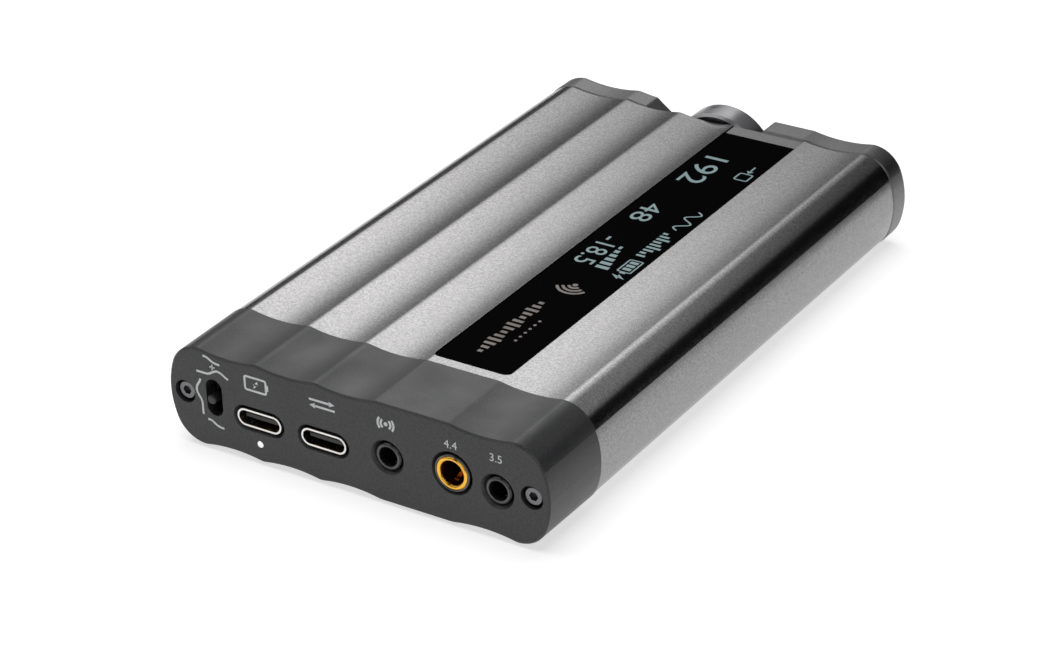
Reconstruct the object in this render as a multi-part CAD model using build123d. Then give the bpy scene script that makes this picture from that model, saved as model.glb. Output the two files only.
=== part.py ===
"""Pocket DAC and headphone amplifier: a scalloped metal case with a plastic rear cap.

Millimetres. X runs across the case, Y along it, Z up. The volume knob is at the front (-Y),
the socket panel at the rear (+Y), and the feet stand on Z = 0.
"""
import os
from math import asin, cos, sin, sqrt

from build123d import *

os.makedirs("parts", exist_ok=True)

# ---------------------------------------------------------------- case
WIDTH = 75.5
CASE_H = 18.6
CASE_Z = 9.8                 # middle of the case section; the feet lift it 0.5
MID_Z = 10.0                 # axis of the knob, the buttons and the cap screws
FRONT_Y = -62.4
REAR_Y = 61.5
FRONT_SEAM_Y = -57.1
REAR_SEAM_Y = 46.2
FLANK_R = 15.5
CORNER_R = 6.1
RIDGES = (19.15, 7.3)        # free ridges between the scallops
FLAT_RIGHT = -4.6            # the flat that carries the display
FLAT_LEFT = -18.8
SCALLOP_DEPTH = 0.62
RIDGE_R = 3.0
REAR_CAP_PROUD = 0.12        # the rear cap stands out at its seam ...
REAR_PANEL_IN = -0.03        # ... and tapers to here at the socket panel
FRONT_CAP_PROUD = 0.12

CAVITY_X = 31.6
CAVITY_LOW = 3.0
CAVITY_TOP = 17.0
RAIL_X = 32.3
BOARD_LOW = 5.6
BOARD_TOP = 6.8
BOARD_X = 32.1
BOARD_FRONT_Y = -56.8
BOARD_REAR_Y = 58.9
PANEL_IN_Y = 59.3

# ---------------------------------------------------------------- display
DISPLAY_X = -11.65
POCKET_W = 15.0
POCKET_REAR_Y = 44.05
POCKET_FLOOR = 17.95
GLASS_W = 14.9
GLASS_FRONT_Y = -53.75
GLASS_TOP = 18.85
WINDOW_W = 12.6
WINDOW_Y = (-45.5, 8.5)

# ---------------------------------------------------------------- sockets
SCREW_X = 34.4
SCREW_HEAD_R = 1.75
SCREW_BORE_R = 2.1
USB_Z = 8.45
USB_W, USB_H = 9.0, 3.26
USB_IN_W, USB_IN_H = 8.34, 2.56
CHARGE_X = 19.2
DATA_X = 6.1
SMALL_JACK_R = 1.8           # bore for a 3.5 mm plug
SMALL_NOSE_R = 2.48
SMALL_JACK_Z = 9.2
SMALL_DEPTH = 14.5
LARGE_JACK_R = 2.25          # bore for a 4.4 mm plug
LARGE_NOSE_R = 3.3
LARGE_JACK_Z = 10.0
LARGE_DEPTH = 19.5
DIGITAL_X = -6.7
LINE_BALANCED_X = -19.3
LINE_SINGLE_X = -27.9
PHONE_BALANCED_X = -19.4
PHONE_SINGLE_X = -28.2
LIGHT_X, LIGHT_Z = 19.3, 4.0

# ---------------------------------------------------------------- controls
FILTER_X, FILTER_Z = 28.25, 10.45
FILTER_SLOT_W, FILTER_SLOT_H = 3.3, 6.9
FILTER_TRAVEL = 2.1
SENSE_X, SENSE_Y = 14.0, -20.0
SENSE_TRAVEL = 2.0
KNOB_R = 9.8
KNOB_REAR_Y = -57.7
KNOB_FRONT_Y = -63.2
KNOB_SLOT = 10.25            # half width of the gap in the front cap
SHAFT_R = 2.5
BUTTON_R = 1.92
BUTTON_XS = {"input": 20.5, "effect": 28.0}


# ---------------------------------------------------------------- helpers
def block(x0, x1, y0, y1, z0, z1):
    """Box between two corners."""
    box = Box(x1 - x0, y1 - y0, z1 - z0, align=(Align.MIN, Align.MIN, Align.MIN))
    return Pos(x0, y0, z0) * box


def rod_y(x, z, radius, y0, y1):
    """Cylinder along Y."""
    low, high = min(y0, y1), max(y0, y1)
    rod = Cylinder(radius, high - low, align=(Align.CENTER, Align.CENTER, Align.MIN))
    return Pos(x, low, z) * Rot(-90, 0, 0) * rod


def cone_y(x, z, r_low, r_high, y_low, y_high):
    """Cone along Y, r_low at y_low."""
    cone = Cone(r_low, r_high, y_high - y_low, align=(Align.CENTER, Align.CENTER, Align.MIN))
    return Pos(x, y_low, z) * Rot(-90, 0, 0) * cone


def across(y, z=MID_Z):
    """Sketch plane square to the case's length: its x is X and its y is Z."""
    return Plane(origin=(0, y, z), x_dir=(1, 0, 0), z_dir=(0, -1, 0))


def slot_y(x, z, width, height, y0, y1):
    """Round-ended slot prism along Y, longer side across."""
    low, high = min(y0, y1), max(y0, y1)
    face = across(high, z) * Pos(x, 0) * SlotOverall(width, height)
    return extrude(face, high - low)


def outline(y, grow=0.0):
    """The scalloped section of the case as a face at this Y."""
    mid_r = FLANK_R - CORNER_R
    rise = asin((CASE_H / 2 - CORNER_R) / mid_r)
    flank_x = WIDTH / 2 - FLANK_R
    corner_x = flank_x + mid_r * cos(rise)
    corner_z = CASE_H / 2 - CORNER_R
    top = CASE_H / 2 + grow
    half = (rise + 1.5708) / 2

    def flank_point(angle):
        return (flank_x + (FLANK_R + grow) * cos(angle), (FLANK_R + grow) * sin(angle))

    def corner_point(angle):
        return (corner_x + (CORNER_R + grow) * cos(angle), corner_z + (CORNER_R + grow) * sin(angle))

    edges = []
    for up in (1, -1):
        for side in (1, -1):
            def put(point):
                return (side * point[0], up * point[1])

            edges.append(ThreePointArc(put(flank_point(0)), put(flank_point(rise / 2)),
                                       put(flank_point(rise))))
            edges.append(ThreePointArc(put(flank_point(rise)), put(corner_point(half)),
                                       put((corner_x, top))))
        stops = (corner_x,) + RIDGES + (FLAT_RIGHT,)
        for a, b in list(zip(stops, stops[1:])) + [(FLAT_LEFT, -corner_x)]:
            low = ((a + b) / 2, up * (top - SCALLOP_DEPTH))
            edges.append(ThreePointArc((a, up * top), low, (b, up * top)))
        edges.append(Line((FLAT_RIGHT, up * top), (FLAT_LEFT, up * top)))
    face = make_face(edges)
    ridges = [v for v in face.vertices() if abs(abs(v.Y) - top) < 1e-4]
    face = fillet(ridges, RIDGE_R)
    return across(y, CASE_Z) * face


def save(name, shape):
    """Write one node."""
    shape.label = name
    export_step(shape, f"parts/{name}.step")
    solids = shape.solids()
    size = shape.bounding_box().size
    print(f"{name:26s} {len(solids)} solid(s)  {size.X:6.2f} x {size.Y:6.2f} x {size.Z:6.2f}  "
          f"{sum(s.volume for s in solids):9.2f} mm3")


def group(*shapes):
    """Several separate solids as one node."""
    return Compound(children=[s for shape in shapes for s in shape.solids()])


# ---------------------------------------------------------------- body shell
body = extrude(outline(REAR_SEAM_Y), REAR_SEAM_Y - FRONT_SEAM_Y)
cavity_face = across(REAR_SEAM_Y + 1, (CAVITY_LOW + CAVITY_TOP) / 2) * RectangleRounded(
    2 * CAVITY_X, CAVITY_TOP - CAVITY_LOW, 2.0)
body -= extrude(cavity_face, REAR_SEAM_Y - FRONT_SEAM_Y + 2)
body -= block(-RAIL_X, RAIL_X, FRONT_SEAM_Y - 1, REAR_SEAM_Y + 1, BOARD_LOW - 0.1, BOARD_TOP + 0.1)
pocket = block(DISPLAY_X - POCKET_W / 2, DISPLAY_X + POCKET_W / 2,
               FRONT_SEAM_Y - 1, POCKET_REAR_Y, POCKET_FLOOR, 20)
pocket = fillet(pocket.edges().filter_by(Axis.Z).group_by(Axis.Y)[-1], 1.3)
body -= pocket
body -= block(DISPLAY_X - WINDOW_W / 2, DISPLAY_X + WINDOW_W / 2, *WINDOW_Y, CAVITY_TOP - 1, 19)
for x in (-SCREW_X, SCREW_X):
    body -= rod_y(x, MID_Z, 1.02, REAR_SEAM_Y, REAR_SEAM_Y - 9)
    body -= rod_y(x, MID_Z, 1.02, FRONT_SEAM_Y, FRONT_SEAM_Y + 9)
FOOT_SPOTS = [(-26, 38), (26, 38), (-26, -44), (26, -44)]
for x, y in FOOT_SPOTS:
    body -= Pos(x, y, 0) * Cylinder(4.05, 1.9, align=(Align.CENTER, Align.CENTER, Align.MIN))
sense_pocket = extrude(Pos(SENSE_X, SENSE_Y, 0) * SlotOverall(12.0, 5.2), 2.2)
sense_slot = extrude(Pos(SENSE_X, SENSE_Y, 0) * SlotOverall(2 * (SENSE_TRAVEL + 1.1 + 0.4), 2.6), 4)
body -= sense_pocket + sense_slot
save("body_shell", body)

# ---------------------------------------------------------------- rear cap
cap = loft([outline(REAR_SEAM_Y, REAR_CAP_PROUD), outline(REAR_Y, REAR_PANEL_IN)], ruled=True)
rim = cap.faces().sort_by(Axis.Y)[-1].outer_wire().edges()
cap = chamfer(rim, 0.3)
hollow = across(PANEL_IN_Y) * RectangleRounded(2 * (RAIL_X - 0.05), 14.4, 2.0)
cap -= extrude(hollow, PANEL_IN_Y - REAR_SEAM_Y + 1)
for x in (-SCREW_X, SCREW_X):
    cap -= rod_y(x, MID_Z, SCREW_BORE_R, PANEL_IN_Y, REAR_Y + 1)
    cap -= rod_y(x, MID_Z, 1.15, REAR_SEAM_Y - 1, REAR_Y)
for x in (CHARGE_X, DATA_X):
    cap -= slot_y(x, USB_Z, 9.5, 3.8, PANEL_IN_Y - 1, REAR_Y + 1)
    mouth = loft([across(REAR_Y - 0.9, USB_Z) * Pos(x, 0) * SlotOverall(9.5, 3.8),
                  across(REAR_Y, USB_Z) * Pos(x, 0) * SlotOverall(10.4, 4.7)])
    cap -= mouth
for x in (DIGITAL_X, LINE_SINGLE_X):
    cap -= rod_y(x, SMALL_JACK_Z, 2.6, PANEL_IN_Y - 1, REAR_Y + 1)
    cap -= cone_y(x, SMALL_JACK_Z, 2.6, 3.2, REAR_Y - 0.9, REAR_Y)
cap -= rod_y(LINE_BALANCED_X, LARGE_JACK_Z, 3.42, PANEL_IN_Y - 1, REAR_Y + 1)
cap -= cone_y(LINE_BALANCED_X, LARGE_JACK_Z, 3.42, 3.95, REAR_Y - 0.9, REAR_Y)
filter_face = across(REAR_Y + 1, FILTER_Z) * Pos(FILTER_X, 0) * Rot(0, 0, 90) * SlotOverall(
    FILTER_SLOT_H, FILTER_SLOT_W)
cap -= extrude(filter_face, 4)
cap -= rod_y(LIGHT_X, LIGHT_Z, 0.65, PANEL_IN_Y - 1, REAR_Y + 1)
for x in (-22.0, 22.0):
    for low, high in ((15.9, 16.85), (3.15, 4.1)):
        tab = block(x - 5, x + 5, REAR_SEAM_Y - 3, REAR_SEAM_Y + 5, low, high)
        web = 1 if low > MID_Z else -1
        edge = high if web > 0 else low
        foot = block(x - 5, x + 5, REAR_SEAM_Y + 0.05, REAR_SEAM_Y + 5,
                     min(edge, edge + web * 0.6), max(edge, edge + web * 0.6))
        cap += tab + foot
save("rear_cap", cap)

# ---------------------------------------------------------------- front cap
plate = extrude(outline(FRONT_SEAM_Y, FRONT_CAP_PROUD), FRONT_SEAM_Y - FRONT_Y)
plate = chamfer(plate.faces().sort_by(Axis.Y)[-1].outer_wire().edges(), 0.4)
plate = fillet(plate.faces().sort_by(Axis.Y)[0].outer_wire().edges(), 1.0)
plate -= block(-KNOB_SLOT, KNOB_SLOT, FRONT_Y - 1, FRONT_SEAM_Y + 1, 0, 20)
for up in (1, -1):
    brim = CASE_Z - MID_Z + up * (CASE_H / 2 - 0.2)
    scoop = Polyline((KNOB_SLOT - 2, up * 3.6), (15.4, brim), (15.4, up * 12),
                     (KNOB_SLOT - 2, up * 12), close=True)
    plate -= extrude(across(FRONT_SEAM_Y + 1) * make_face(scoop), 8)
scoop_edges = [e for e in plate.edges().filter_by(Axis.Y) if 9 < e.center().X < 17]
plate = fillet(scoop_edges, 1.1)
wall_edges = [e for e in plate.edges().filter_by(Axis.Y) if abs(e.center().X + KNOB_SLOT) < 0.01]
plate = fillet(wall_edges, 0.5)
floor = block(-13.2, 13.2, FRONT_SEAM_Y, FRONT_SEAM_Y + 2.5, 3.2, 16.8)
tongue = block(DISPLAY_X - 7.42, DISPLAY_X + 7.42, FRONT_SEAM_Y, GLASS_FRONT_Y - 0.12,
               18.0, 18.78)
tongue = chamfer(tongue.edges().filter_by(Axis.Y).group_by(Axis.Z)[-1], 0.15)
plate += floor
plate += tongue
plate -= rod_y(0, MID_Z, 3.6, FRONT_SEAM_Y - 1, FRONT_SEAM_Y + 4)
for x in (-SCREW_X, SCREW_X):
    plate -= rod_y(x, MID_Z, SCREW_BORE_R, FRONT_Y + 2.2, FRONT_Y - 1)
    plate -= rod_y(x, MID_Z, 1.15, FRONT_Y, FRONT_SEAM_Y + 1)
plate -= rod_y(PHONE_SINGLE_X, SMALL_JACK_Z, 2.6, FRONT_Y - 1, FRONT_SEAM_Y + 1)
plate -= cone_y(PHONE_SINGLE_X, SMALL_JACK_Z, 3.2, 2.6, FRONT_Y, FRONT_Y + 0.8)
plate -= rod_y(PHONE_BALANCED_X, LARGE_JACK_Z, 3.42, FRONT_Y - 1, FRONT_SEAM_Y + 1)
plate -= cone_y(PHONE_BALANCED_X, LARGE_JACK_Z, 3.95, 3.42, FRONT_Y, FRONT_Y + 0.8)
for x in BUTTON_XS.values():
    plate -= rod_y(x, MID_Z, 2.05, FRONT_Y - 1, FRONT_SEAM_Y + 1)
    plate -= cone_y(x, MID_Z, 2.4, 2.05, FRONT_Y, FRONT_Y + 0.35)
save("front_cap", plate)

# ---------------------------------------------------------------- display
glass = block(DISPLAY_X - GLASS_W / 2, DISPLAY_X + GLASS_W / 2, GLASS_FRONT_Y, POCKET_REAR_Y - 0.05,
              POCKET_FLOOR + 0.1, GLASS_TOP)
glass = fillet(glass.edges().filter_by(Axis.Z).group_by(Axis.Y)[-1], 1.25)
glass = chamfer(glass.faces().sort_by(Axis.Z)[-1].edges(), 0.12)
save("display_glass", glass)
tape = block(DISPLAY_X - 7.3, DISPLAY_X + 7.3, GLASS_FRONT_Y + 0.2, POCKET_REAR_Y - 1.4,
             POCKET_FLOOR, POCKET_FLOOR + 0.1)
tape -= block(DISPLAY_X - 6.35, DISPLAY_X + 6.35, GLASS_FRONT_Y + 1.4, POCKET_REAR_Y - 2.6, 17, 19)
save("display_adhesive", tape)
save("oled_panel", block(DISPLAY_X - 6.1, DISPLAY_X + 6.1, -45.2, 8.2, 16.35, 17.85))
carrier = block(DISPLAY_X - 7.2, DISPLAY_X + 7.2, -47.6, 12.0, 15.3, 16.35)
save("oled_carrier", carrier)
RIBBON_W = 8.0
ribbon_path = FilletPolyline((9.0, 15.1), (15.5, 15.1), (15.5, 8.0), (18.5, 8.0), radius=1.6)
ribbon_face = Plane.YZ * trace(ribbon_path, 0.16)
ribbon = Pos(DISPLAY_X - RIBBON_W / 2, 0, 0) * extrude(ribbon_face, RIBBON_W)
save("display_ribbon", ribbon)
ribbon_socket = block(DISPLAY_X - 5.5, DISPLAY_X + 5.5, 18.6, 22.6, BOARD_TOP, 8.6)
save("ribbon_socket", ribbon_socket)

# ---------------------------------------------------------------- boards and power
board = block(-BOARD_X, BOARD_X, BOARD_FRONT_Y, BOARD_REAR_Y, BOARD_LOW, BOARD_TOP)
board -= block(-13.6, 13.6, BOARD_FRONT_Y - 1, -54.2, 5, 8)
board -= block(-7.2, 7.2, -54.3, -47.2, 5, 8)
save("main_board", board)
battery = block(0.9, 30.9, -42.0, 34.0, 9.2, 16.2)
battery = fillet(battery.edges().filter_by(Axis.Y), 1.6)
save("battery_pack", battery)
save("battery_foam", group(block(3, 29, -38, -30, 16.2, 16.95), block(3, 29, 22, 30, 16.2, 16.95)))
save("battery_plug", block(12.0, 17.0, 37.6, 41.2, BOARD_TOP, 10.4))
leads = []
for x in (13.5, 15.5):
    path = Plane.YZ * FilletPolyline((34.0, 13.0), (35.8, 13.0), (35.8, 9.0), (37.6, 9.0), radius=0.8)
    start = Plane(origin=(0, 34.0, 13.0), x_dir=(1, 0, 0), z_dir=(0, 1, 0))
    leads.append(Pos(x, 0, 0) * sweep(start * Circle(0.45), path=path))
save("battery_lead", group(*leads))
save("insulating_sheet", block(-29.5, 29.5, -50, 45, CAVITY_LOW, 3.15)
     - block(SENSE_X - 6, SENSE_X + 6, SENSE_Y - 3.5, SENSE_Y + 3.5, 2, 4))

# ---------------------------------------------------------------- charge and data sockets
for name, x in (("charge", CHARGE_X), ("data", DATA_X)):
    shell = slot_y(x, USB_Z, USB_W, USB_H, 53.6, REAR_Y - 0.1)
    shell -= slot_y(x, USB_Z, USB_IN_W, USB_IN_H, 53.0, REAR_Y)
    save(f"{name}_usb_shell", shell)
    back = slot_y(x, USB_Z, USB_IN_W - 0.04, USB_IN_H - 0.04, 53.6, 54.9)
    tongue = block(x - 3.35, x + 3.35, 54.9, 60.5, USB_Z - 0.35, USB_Z + 0.35)
    save(f"{name}_usb_tongue", back + tongue)


# ---------------------------------------------------------------- round sockets
def round_socket(x, z, bore, nose, depth, half_w, top, out_y, panel_y, facing):
    """Plastic housing and metal sleeve of a plug socket; facing is +1 rear or -1 front."""
    inner_y = panel_y - facing * 0.1
    end_y = out_y - facing * depth
    back_y = end_y - facing * 0.9
    low, high = min(inner_y, back_y), max(inner_y, back_y)
    housing = block(x - half_w, x + half_w, low, high, BOARD_TOP, top)
    housing -= rod_y(x, z, bore, end_y, out_y + facing)
    sleeve = rod_y(x, z, nose, inner_y, out_y)
    sleeve -= rod_y(x, z, bore, inner_y - facing, out_y + facing)
    lip = sleeve.faces().sort_by(Axis.Y)[-1 if facing > 0 else 0].edges()
    sleeve = chamfer(lip.sort_by(lambda e: e.radius)[-1], 0.2)
    return housing, sleeve


SOCKETS = (
    ("digital_in", DIGITAL_X, "small", 1),
    ("line_single", LINE_SINGLE_X, "small", 1),
    ("line_balanced", LINE_BALANCED_X, "large", 1),
    ("headphone_single", PHONE_SINGLE_X, "small", -1),
    ("headphone_balanced", PHONE_BALANCED_X, "large", -1),
)
for name, x, kind, facing in SOCKETS:
    panel = PANEL_IN_Y if facing > 0 else FRONT_SEAM_Y
    mouth = REAR_Y if facing > 0 else FRONT_Y
    if kind == "small":
        housing, sleeve = round_socket(x, SMALL_JACK_Z, SMALL_JACK_R, SMALL_NOSE_R, SMALL_DEPTH,
                                       3.25, 12.0, mouth - facing * 0.25, panel, facing)
    else:
        housing, sleeve = round_socket(x, LARGE_JACK_Z, LARGE_JACK_R, LARGE_NOSE_R, LARGE_DEPTH,
                                       4.3, 13.6, mouth - facing * 0.1, panel, facing)
    save(f"{name}_jack", housing)
    save(f"{name}_sleeve", sleeve)

# ---------------------------------------------------------------- rear switch and charge light
can = block(25.9, 30.6, 53.2, 58.9, BOARD_TOP, 14.05)
can -= block(26.35, 30.15, 54.6, 58.3, 7.25, 13.65)
can -= block(FILTER_X - 1.1, FILTER_X + 1.1, 58, 60, FILTER_Z - 3.1, FILTER_Z + 3.1)
save("filter_switch_body", can)
lever = block(26.55, 29.95, 54.8, 58.15, FILTER_Z - 0.95, FILTER_Z + 0.95)
pin = rod_y(FILTER_X, FILTER_Z, 0.85, 58.15, REAR_Y + 0.9)
pin = fillet(pin.faces().sort_by(Axis.Y)[-1].edges(), 0.35)
save("filter_switch_lever", lever + pin)
save("charge_led", block(LIGHT_X - 0.8, LIGHT_X + 0.8, 56.2, 57.6, 3.5, BOARD_LOW))
save("charge_light_pipe", rod_y(LIGHT_X, LIGHT_Z, 0.6, 57.75, REAR_Y - 0.02))

# ---------------------------------------------------------------- underside switch
sense = block(SENSE_X - 4.8, SENSE_X + 4.8, SENSE_Y - 2.2, SENSE_Y + 2.2, 3.5, BOARD_LOW)
sense -= block(SENSE_X - 4.3, SENSE_X + 4.3, SENSE_Y - 1.7, SENSE_Y + 1.7, 3.9, 5.2)
sense -= block(SENSE_X - 3.3, SENSE_X + 3.3, SENSE_Y - 1.05, SENSE_Y + 1.05, 3, 4)
save("sense_switch_body", sense)
slider = block(SENSE_X - 1.9, SENSE_X + 1.9, SENSE_Y - 1.5, SENSE_Y + 1.5, 4.05, 5.05)
nub = block(SENSE_X - 1.1, SENSE_X + 1.1, SENSE_Y - 0.9, SENSE_Y + 0.9, 1.85, 4.05)
nub = fillet(nub.faces().sort_by(Axis.Z)[0].edges(), 0.3)
save("sense_switch_lever", slider + nub)

# ---------------------------------------------------------------- screws
HEX_W = 1.5


def cap_screw(x, head_y, facing):
    """Socket-head screw along Y with its head outwards."""
    head_in = head_y - facing * 1.7
    head = rod_y(x, MID_Z, SCREW_HEAD_R, head_in, head_y)
    head = chamfer(head.faces().sort_by(Axis.Y)[-1 if facing > 0 else 0].edges(), 0.25)
    seam = REAR_SEAM_Y if facing > 0 else FRONT_SEAM_Y
    shank = rod_y(x, MID_Z, 1.0, seam - facing * 8, head_in)
    socket = across(head_y + (1 if facing > 0 else 1.0)) * Pos(x, 0) * RegularPolygon(
        HEX_W / 2, 6, major_radius=False)
    return head + shank - extrude(socket, 2.0)


save("rear_screws", group(*[cap_screw(x, REAR_Y - 0.5, 1) for x in (-SCREW_X, SCREW_X)]))
save("front_screws", group(*[cap_screw(x, FRONT_Y + 0.5, -1) for x in (-SCREW_X, SCREW_X)]))

# ---------------------------------------------------------------- volume knob and encoder
knob = rod_y(0, MID_Z, KNOB_R, KNOB_REAR_Y, KNOB_FRONT_Y)
knob = chamfer(knob.edges().filter_by(GeomType.CIRCLE), 0.5)
knob -= rod_y(0, MID_Z, 7.0, KNOB_REAR_Y + 1, KNOB_FRONT_Y + 1.2)
dish_r = 60.0
knob -= Pos(0, KNOB_FRONT_Y + 0.45 - dish_r, MID_Z) * Sphere(dish_r)
knob -= Pos(0, KNOB_FRONT_Y - 0.15, MID_Z + 7.6) * Sphere(0.7)
save("volume_knob", knob)
hub = rod_y(0, MID_Z, 4.6, -59.55, KNOB_FRONT_Y + 1.2) - rod_y(0, MID_Z, SHAFT_R, -55, -63)
save("knob_hub", hub)
save("encoder_shaft", rod_y(0, MID_Z, SHAFT_R, -50.1, KNOB_FRONT_Y + 1.25))
encoder = block(-6, 6, -54.55, -48.0, 4.2, 15.8)
encoder = chamfer(encoder.edges().filter_by(Axis.Y), 0.8)
encoder += rod_y(0, MID_Z, 3.5, -54.0, -59.0)
encoder -= rod_y(0, MID_Z, SHAFT_R + 0.06, -50.4, -60)
encoder -= rod_y(0, MID_Z, 2.9, -50.4, -48.3)
save("encoder_body", encoder)
save("encoder_plunger", rod_y(0, MID_Z, 2.4, -50.1, -48.9))
nut_face = across(FRONT_SEAM_Y - 0.05) * RegularPolygon(4.5, 6, major_radius=False)
nut = extrude(nut_face, 1.6) - rod_y(0, MID_Z, 3.52, -55, -60)
save("encoder_nut", nut)

# ---------------------------------------------------------------- front buttons
for name, x in BUTTON_XS.items():
    button = rod_y(x, MID_Z, BUTTON_R, FRONT_Y - 0.6, -56.3)
    button = fillet(button.faces().sort_by(Axis.Y)[0].edges(), 0.4)
    button += rod_y(x, MID_Z, 2.7, -57.05, -56.3)
    save(f"{name}_button", button)
    tact = block(x - 3, x + 3, -55.6, -52.0, BOARD_TOP, 12.8)
    tact += rod_y(x, MID_Z, 1.4, -55.95, -55.6)
    save(f"{name}_button_switch", tact)

# ---------------------------------------------------------------- circuits
module = block(-2.0, 11.0, 38.0, 51.0, BOARD_TOP, 7.6)
module_can = block(-1.2, 10.2, 38.8, 48.0, 7.6, 9.4)
save("wireless_module", module + module_can)
save("antenna_patch", block(-28, -4, 51.6, 58.6, 17.0, 17.18))
aerial_path = Plane.YZ * FilletPolyline((49.6, 7.6), (49.6, 13.0), (52.5, 17.0), radius=2.0)
aerial_start = Plane(origin=(0, 49.6, 7.6), x_dir=(1, 0, 0), z_dir=(0, 0, 1))
aerial = sweep(aerial_start * Circle(0.4), path=aerial_path)
save("antenna_lead", aerial)
shield = block(-30, -8, -38, -8, BOARD_TOP, 9.8)
shield -= block(-29.75, -8.25, -37.75, -8.25, BOARD_TOP - 1, 9.55)
save("shield_can", shield)
save("filter_capacitors", group(*[
    Pos(x, y, BOARD_TOP) * Cylinder(3.15, 7.2, align=(Align.CENTER, Align.CENTER, Align.MIN))
    for x in (-27.4, -20.6) for y in (20.0, 28.0, 36.0)]))
save("amplifier_chips", group(*[
    block(x, x + 5, y, y + 4, BOARD_TOP, 8.35) for x in (-29.0, -21.5) for y in (-4.0, 3.0, 10.0)]))
save("power_inductors", group(*[block(x, x + 5, 40.5, 45.5, BOARD_TOP, 9.6) for x in (19.5, 26.0)]))

# ---------------------------------------------------------------- feet
feet = []
for x, y in FOOT_SPOTS:
    foot = Pos(x, y, 0) * Cylinder(4.0, 1.9, align=(Align.CENTER, Align.CENTER, Align.MIN))
    feet.append(fillet(foot.faces().sort_by(Axis.Z)[0].edges(), 0.35))
save("rubber_feet", group(*feet))
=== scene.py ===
"""Pocket DAC and headphone amplifier: the looks of the part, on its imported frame.

Metres, in the CAD frame: X across the case, Y along it from the knob to the sockets, Z up.
Lengths written in millimetres are multiplied by MM.
"""

from math import cos, pi, radians, sin

import bpy
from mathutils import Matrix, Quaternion, Vector


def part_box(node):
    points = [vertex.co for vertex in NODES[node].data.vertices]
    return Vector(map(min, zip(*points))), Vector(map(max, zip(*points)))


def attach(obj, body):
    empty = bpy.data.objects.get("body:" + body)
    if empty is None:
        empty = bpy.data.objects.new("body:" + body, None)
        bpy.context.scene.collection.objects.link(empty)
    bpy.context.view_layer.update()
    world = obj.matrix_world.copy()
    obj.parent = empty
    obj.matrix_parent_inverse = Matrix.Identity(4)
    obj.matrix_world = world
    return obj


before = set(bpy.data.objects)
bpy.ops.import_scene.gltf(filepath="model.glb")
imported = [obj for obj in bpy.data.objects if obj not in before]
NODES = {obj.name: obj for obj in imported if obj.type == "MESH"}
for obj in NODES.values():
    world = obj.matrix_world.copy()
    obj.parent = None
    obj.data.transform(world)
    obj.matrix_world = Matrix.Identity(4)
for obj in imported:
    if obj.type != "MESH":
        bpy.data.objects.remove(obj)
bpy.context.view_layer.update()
MM = 0.001

# the camera that the photograph was taken with, solved from the case
LENS_MM = 109.23
CAMERA_PLACE = (-0.26985, 0.41681, 0.27369)
CAMERA_FORWARD = (0.485155, -0.731809, -0.478624)
CAMERA_ROLL_DEG = -2.09


# ---------------------------------------------------------------- camera
def place_camera():
    data = bpy.data.cameras.new("camera")
    data.sensor_width = 36.0
    data.lens = LENS_MM
    data.clip_start = 0.01
    data.clip_end = 20.0
    camera = bpy.data.objects.new("camera", data)
    bpy.context.scene.collection.objects.link(camera)
    roll = Quaternion((0.0, 0.0, 1.0), radians(CAMERA_ROLL_DEG))
    camera.rotation_mode = "QUATERNION"
    camera.rotation_quaternion = Vector(CAMERA_FORWARD).to_track_quat("-Z", "Y") @ roll
    camera.location = CAMERA_PLACE
    bpy.context.scene.camera = camera


place_camera()


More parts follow.
